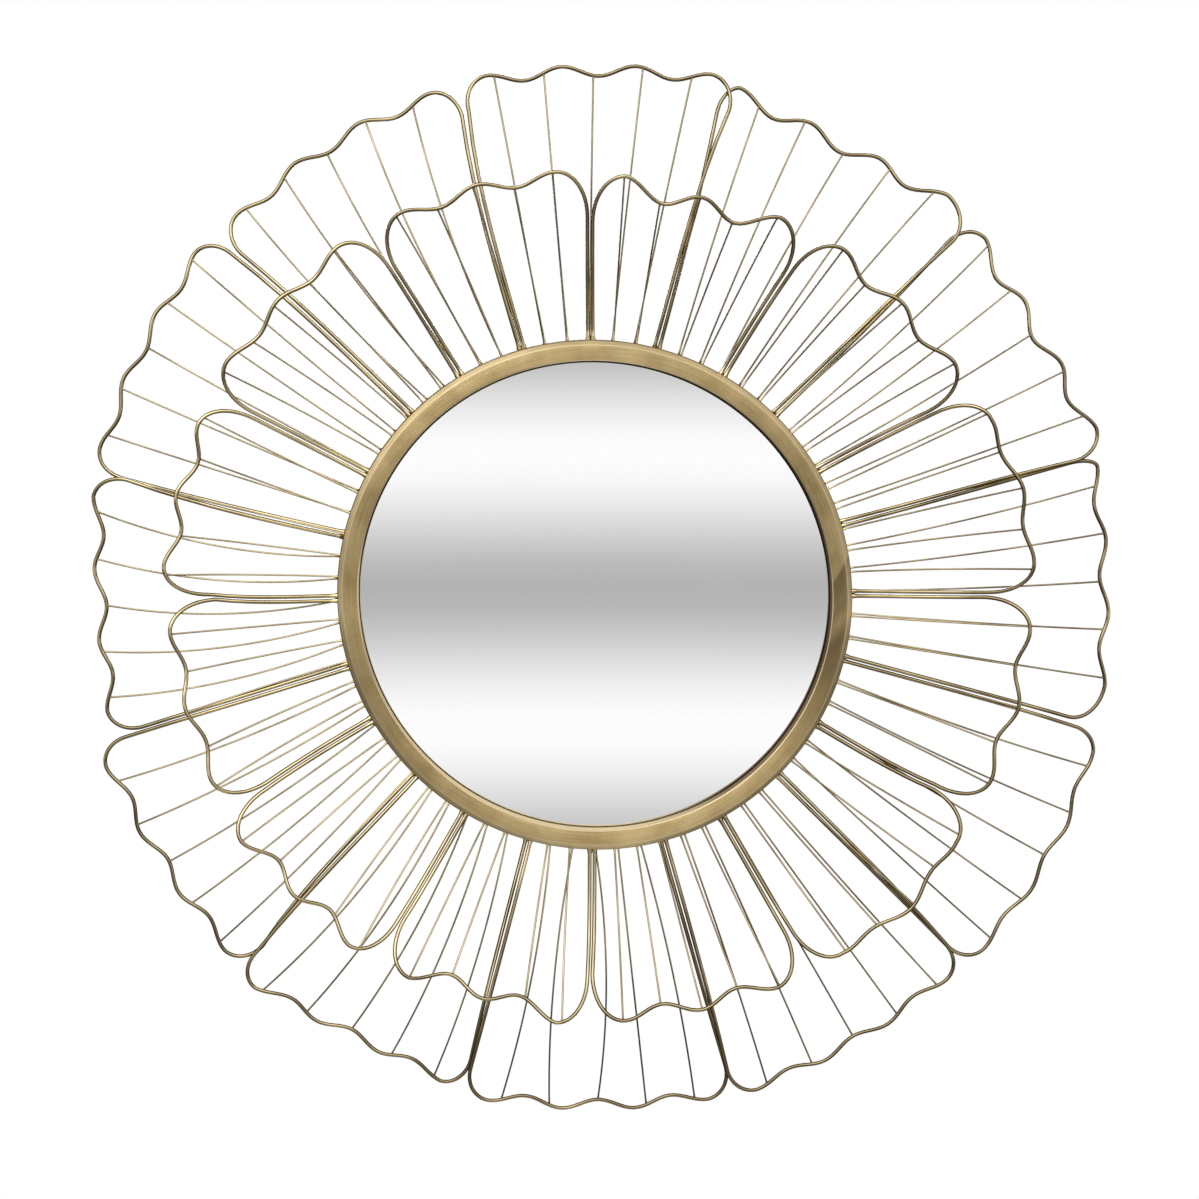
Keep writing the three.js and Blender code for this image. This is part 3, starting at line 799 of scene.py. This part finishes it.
class MIRROR_OT_back(bpy.types.Operator):
    """Turns the back board, and lets the keyhole plate into it with its two screws"""

    bl_idname = "petal_mirror.back"
    bl_label = "Back board and keyhole plate"

    def execute(self, context):
        settings = context.scene.petal_mirror.back
        self.turn_board(settings, context.scene.petal_mirror.hoop)
        steel = plated_steel(settings)
        self.press_plate(settings, steel)
        self.drive_screws(settings, steel)
        return {"FINISHED"}

    def add_block(self, width, depth, length, height):
        """A block let into the board from behind, to the given depth."""
        deselect_all()
        bpy.ops.mesh.primitive_cube_add(
            size=1.0, location=(0.0, 0.0, height), scale=(width, 2.0 * depth, length)
        )
        return named_active("cutter")

    def add_pin(self, radius, height):
        """A pin through the plate, at a height."""
        return add_round("cutter", radius, -THROUGH / 2, THROUGH / 2, sides=PIN_SIDES, height=height)

    def turn_board(self, settings, hoop):
        """The round board with its broken rear edge, the plate's bed and the pocket for the screw."""
        board = add_round("board", settings.board_radius, BOARD_LOW.y, BOARD_HIGH.y)
        round_edges(board, lambda place: place.y > BOARD_HIGH.y - TOUCH, settings.edge, segments=3)
        draw_oval(board, hoop)
        width = PLATE_SIZE.x + 2 * settings.bed_play
        length = PLATE_SIZE.z + 2 * settings.bed_play
        depth = PLATE_SIZE.y + settings.bed_play
        middle = PLATE_MIDDLE.z
        cut_away(board, self.add_block(width, depth, length, middle))
        cut_away(board, self.add_block(*settings.pocket, middle))
        bpy.ops.object.shade_smooth_by_angle(angle=BOARD_CREASE)
        dress(board, "back_board", raw_fibreboard(settings))

    def press_plate(self, settings, steel):
        """The plate with its corners rounded and the keyhole cut through."""
        deselect_all()
        bpy.ops.mesh.primitive_cube_add(size=1.0, location=PLATE_MIDDLE, scale=PLATE_SIZE)
        plate = named_active("keyhole_plate")
        middle = PLATE_MIDDLE.z
        bevel_edges(plate, runs_through, settings.corner_round, segments=5)
        cut_away(plate, self.add_pin(settings.keyhole_radius, middle - settings.keyhole_drop))
        cut_away(plate, self.add_pin(settings.slot_radius, middle + settings.slot_rise))
        slot_length = settings.slot_rise + settings.keyhole_drop
        slot_middle = middle + (settings.slot_rise - settings.keyhole_drop) / 2
        cut_away(plate, self.add_block(2 * settings.slot_radius, THROUGH / 2, slot_length, slot_middle))
        for place in (settings.screw_place, -settings.screw_place):
            cut_away(plate, self.add_pin(settings.screw_radius + settings.bed_play, middle + place))
        apply_modifier(plate, "BEVEL", width=settings.plate_edge, segments=2, limit_method="ANGLE")
        bpy.ops.object.shade_smooth_by_angle(angle=METAL_CREASE)
        apply_modifier(plate, "WEIGHTED_NORMAL", mode="FACE_AREA", keep_sharp=True)
        dress(plate, "hanger_plate", steel)

    def drive_screws(self, settings, steel):
        """A flush screw near each end of the plate, its edge rounded and its cross slot cut in."""
        middle = PLATE_MIDDLE.z
        slot = settings.screw_radius / 4
        arm = 5 * slot
        edge = settings.screw_radius / 8
        for name, place in (("upper_screw", settings.screw_place), ("lower_screw", -settings.screw_place)):
            screw = add_round(
                name, settings.screw_radius, PLATE_LOW.y, PLATE_HIGH.y, sides=PIN_SIDES, height=middle + place
            )
            round_edges(screw, lambda point: point.y > PLATE_HIGH.y - TOUCH, edge, segments=3)
            for width, length in ((slot, arm), (arm, slot)):
                cut_away(screw, self.add_block(width, slot, length, middle + place))
            bpy.ops.object.shade_smooth_by_angle(angle=METAL_CREASE)
            dress(screw, None, steel)


class Petal:
    """The lines that one petal's wires follow, in metres and radians."""

    def __init__(self, row, index, settings, hoop):
        bend = row.bends[index]
        after = row.bends[(index + 1) % PETALS_IN_ROW]
        even = 360 / PETALS_IN_ROW
        first_corner, last_corner = bend.corners
        self.row = row
        self.settings = settings
        self.hoop = hoop
        self.axis = math.radians(row.first_side + (index + 0.5) * even)
        self.root_middle = math.radians((bend.root + after.root) / 2)
        self.root_half = math.radians((even + after.root - bend.root) / 2)
        self.tip_middle = math.radians((first_corner + last_corner) / 2)
        self.tip_half = math.radians((even + last_corner - first_corner) / 2)
        self.crest = self.tip_half * row.crest_spread
        self.first = (row.reach + bend.first) / MM_IN_METRE
        self.last = (row.reach + bend.last) / MM_IN_METRE
        self.sag = bend.sag / MM_IN_METRE
        self.scallop = bend.scallop / MM_IN_METRE
        self.fan = math.radians(bend.fan)
        self.slide = math.radians(bend.slide)
        self.sways = [sway / MM_IN_METRE for sway in bend.sways]
        self.twist = bend.twist
        self.corner_rise = row.corner_rise / MM_IN_METRE
        self.inset = settings.rim_radius + settings.rim_spacing / 2

    def point(self, angle, radius):
        """The place at an angle from the petal's axis, anticlockwise from the front, and a radius."""
        row = self.row
        reached = (radius - self.hoop.radius) / (max(self.first, self.last) - self.hoop.radius)
        towards_first = (self.tip_middle + self.tip_half - angle) / (2 * self.tip_half)
        twisted = self.twist * towards_first * (1 - (1 - reached) ** TWIST_POWER)
        straight = row.root_depth + (row.tip_depth - row.root_depth) * reached
        depth = straight + row.bow * hump(reached) - twisted
        turn = self.axis + angle
        return Vector((radius * math.cos(turn), depth / MM_IN_METRE, radius * math.sin(turn)))

    def root_radius(self, angle):
        """Radius at which a wire starts from the hoop."""
        return self.hoop.radius + hoop_stray(self.axis + angle, self.hoop) + self.settings.root_play

    def corner_start(self, sign):
        """Radius at which a side ends and its corner starts."""
        return (self.first if sign < 0 else self.last) - self.corner_rise

    def widest(self, sign):
        """Angle of a corner from the middle of the tip, to the middle of the wire."""
        return self.tip_half - math.asin(self.inset / self.corner_start(sign))

    def crest_angle(self, sign):
        """Angle of the outermost crest from the middle of the tip."""
        return self.crest + (self.slide if sign > 0 else -self.slide)

    def side_angle(self, sign, radius):
        """Angle of a side wire, which runs beside the line shared with the next petal and leaves it late."""
        reached = (radius - self.hoop.radius) / (self.corner_start(sign) - self.hoop.radius)
        strayed = reached ** STRAY_POWER
        middle = self.root_middle + (self.tip_middle - self.root_middle) * strayed
        half = self.root_half + (self.tip_half - self.root_half) * strayed
        return middle + sign * (half - math.asin(self.inset / radius))

    def end_radius(self, angle):
        """Radius of the scalloped end at an angle from the middle of the tip, round the corners too."""
        slid = angle - self.slide
        if abs(slid) <= self.crest:
            across = (slid + self.crest) / (2 * self.crest)
            phase = 2 * math.pi * (self.row.scallops - 1) * across
            reach = self.first + (self.last - self.first) * across - self.sag * hump(across)
            return reach - self.scallop * (1 - math.cos(phase)) / 2
        crest = self.crest_angle(angle)
        past = (abs(angle) - crest) / (self.widest(angle) - crest)
        return self.corner_start(angle) + self.corner_rise * math.sqrt(max(0.0, 1 - past * past))

    def side(self, sign):
        """The side wire from the hoop to its corner's end, as points that lie closest at the hoop."""
        root = self.root_radius(self.root_middle + sign * self.root_half)
        start = self.corner_start(sign)
        points = []
        for step in range(SIDE_STEPS + 1):
            radius = root + (start - root) * (step / SIDE_STEPS) ** 2
            points.append(self.point(self.side_angle(sign, radius), radius))
        crest = self.crest_angle(sign)
        for step in range(1, CORNER_STEPS + 1):
            turn = math.pi / 2 * step / CORNER_STEPS
            angle = crest + (self.widest(sign) - crest) * math.cos(turn)
            radius = start + self.corner_rise * math.sin(turn)
            points.append(self.point(self.tip_middle + sign * angle, radius))
        return points

    def rim(self):
        """The rim wire, up the first side, along the scallops and down the last side."""
        steps = SCALLOP_STEPS * (self.row.scallops - 1)
        scallops = []
        for step in range(1, steps):
            angle = self.slide + self.crest * (2 * step / steps - 1)
            scallops.append(self.point(self.tip_middle + angle, self.end_radius(angle)))
        return self.side(-1) + scallops + self.side(1)[::-1]

    def spoke(self, place, sway):
        """A spoke from the hoop to the rim, its points closest at its ends, at a place from -1 to 1."""
        root = self.root_middle + place * self.settings.root_spread * self.root_half
        tip = self.fan + place * self.settings.tip_spread * math.pi / PETALS_IN_ROW
        start = self.root_radius(root)
        end = self.end_radius(tip)
        points = []
        for step in range(SPOKE_STEPS + 1):
            t = (1 - math.cos(math.pi * step / SPOKE_STEPS)) / 2
            radius = start + (end - start) * t
            angle = root + (self.tip_middle + tip - root) * t + sway * hump(t) / radius
            points.append(self.point(angle, radius))
        return points


def hump(t):
    """Rises from 0 to 1 and falls back to 0 as t runs from 0 to 1."""
    return 4 * t * (1 - t)


def lay_wire(curve, points, radii):
    """Lays one wire through the points, with its thickness at each."""
    wire = curve.splines.new("POLY")
    wire.points.add(len(points) - 1)
    for knot, point, radius in zip(wire.points, points, radii):
        knot.co = (*point, 1.0)
        knot.radius = radius


def welded(points, radius, settings):
    """Thickness of a wire at its points, as a share of the rim's: it swells to a weld at both ends."""
    swollen = []
    for point in points:
        gap = min((point - points[0]).length, (point - points[-1]).length)
        weld = math.exp(-((gap / settings.weld_length) ** 2))
        swollen.append(radius * (1 + settings.weld_swell * weld) / settings.rim_radius)
    return swollen


def bend_petal(row, index, settings, hoop, material):
    """Bends one petal's rim, welds its spokes in and dresses it."""
    petal = Petal(row, index, settings, hoop)
    deselect_all()
    bpy.ops.curve.primitive_bezier_curve_add()
    wires = bpy.context.active_object
    wires.name = "%s_wires_%02d" % (row.node, index + 1)
    wires.data.splines.clear()
    wires.data.dimensions = "3D"
    wires.data.bevel_depth = settings.rim_radius
    wires.data.bevel_resolution = 4
    wires.data.use_fill_caps = True
    rim = petal.rim()
    lay_wire(wires.data, rim, welded(rim, settings.rim_radius, settings))
    for number, sway in enumerate(petal.sways):
        spoke = petal.spoke(2 * number / (len(petal.sways) - 1) - 1, sway)
        lay_wire(wires.data, spoke, welded(spoke, settings.spoke_radius, settings))
    bpy.ops.object.convert(target="MESH")
    bpy.ops.object.shade_smooth_by_angle(angle=WIRE_CREASE)
    node = "%s_%02d" % (row.node, index + 1)
    dress(bpy.context.active_object, node, material)


def bend_row(row, mirror):
    """Bends all the petals of a row, which share one material."""
    material = drawn_gold(mirror.petals)
    for index in range(PETALS_IN_ROW):
        bend_petal(row, index, mirror.petals, mirror.hoop, material)


class MIRROR_OT_rear_petals(bpy.types.Operator):
    """Bends the long petals of the rear row"""

    bl_idname = "petal_mirror.rear_petals"
    bl_label = "Rear petals"

    def execute(self, context):
        bend_row(REAR_ROW, context.scene.petal_mirror)
        return {"FINISHED"}


class MIRROR_OT_front_petals(bpy.types.Operator):
    """Bends the short petals of the front row"""

    bl_idname = "petal_mirror.front_petals"
    bl_label = "Front petals"

    def execute(self, context):
        bend_row(FRONT_ROW, context.scene.petal_mirror)
        return {"FINISHED"}


class MIRROR_PT_sidebar(bpy.types.Panel):
    """Lists the mirror's pieces and their settings"""

    bl_idname = "MIRROR_PT_sidebar"
    bl_label = "Petal wall mirror"
    bl_space_type = "VIEW_3D"
    bl_region_type = "UI"
    bl_category = "Mirror"

    def draw(self, context):
        settings = context.scene.petal_mirror
        for operator, group in (
            (MIRROR_OT_stage, settings.stage),
            (MIRROR_OT_hoop, settings.hoop),
            (MIRROR_OT_glass, settings.glass),
            (MIRROR_OT_back, settings.back),
            (MIRROR_OT_rear_petals, settings.petals),
            (MIRROR_OT_front_petals, None),
        ):
            box = self.layout.box()
            box.operator(operator.bl_idname)
            if group:
                for name in group.__annotations__:
                    box.prop(group, name)


CLASSES = (
    HoopSettings,
    PetalSettings,
    GlassSettings,
    BackSettings,
    StageSettings,
    MirrorSettings,
    MIRROR_OT_stage,
    MIRROR_OT_hoop,
    MIRROR_OT_glass,
    MIRROR_OT_back,
    MIRROR_OT_rear_petals,
    MIRROR_OT_front_petals,
    MIRROR_PT_sidebar,
)


def register():
    """Registers the settings, the operators and the panel."""
    for each in CLASSES:
        bpy.utils.register_class(each)
    bpy.types.Scene.petal_mirror = PointerProperty(type=MirrorSettings)


def unregister():
    """Takes them all out again."""
    del bpy.types.Scene.petal_mirror
    for each in reversed(CLASSES):
        bpy.utils.unregister_class(each)


def main():
    """Makes the stage and the pieces in order."""
    register()
    bpy.ops.petal_mirror.stage()
    bpy.ops.petal_mirror.hoop()
    bpy.ops.petal_mirror.glass()
    bpy.ops.petal_mirror.back()
    bpy.ops.petal_mirror.rear_petals()
    bpy.ops.petal_mirror.front_petals()


if __name__ == "__main__":
    main()
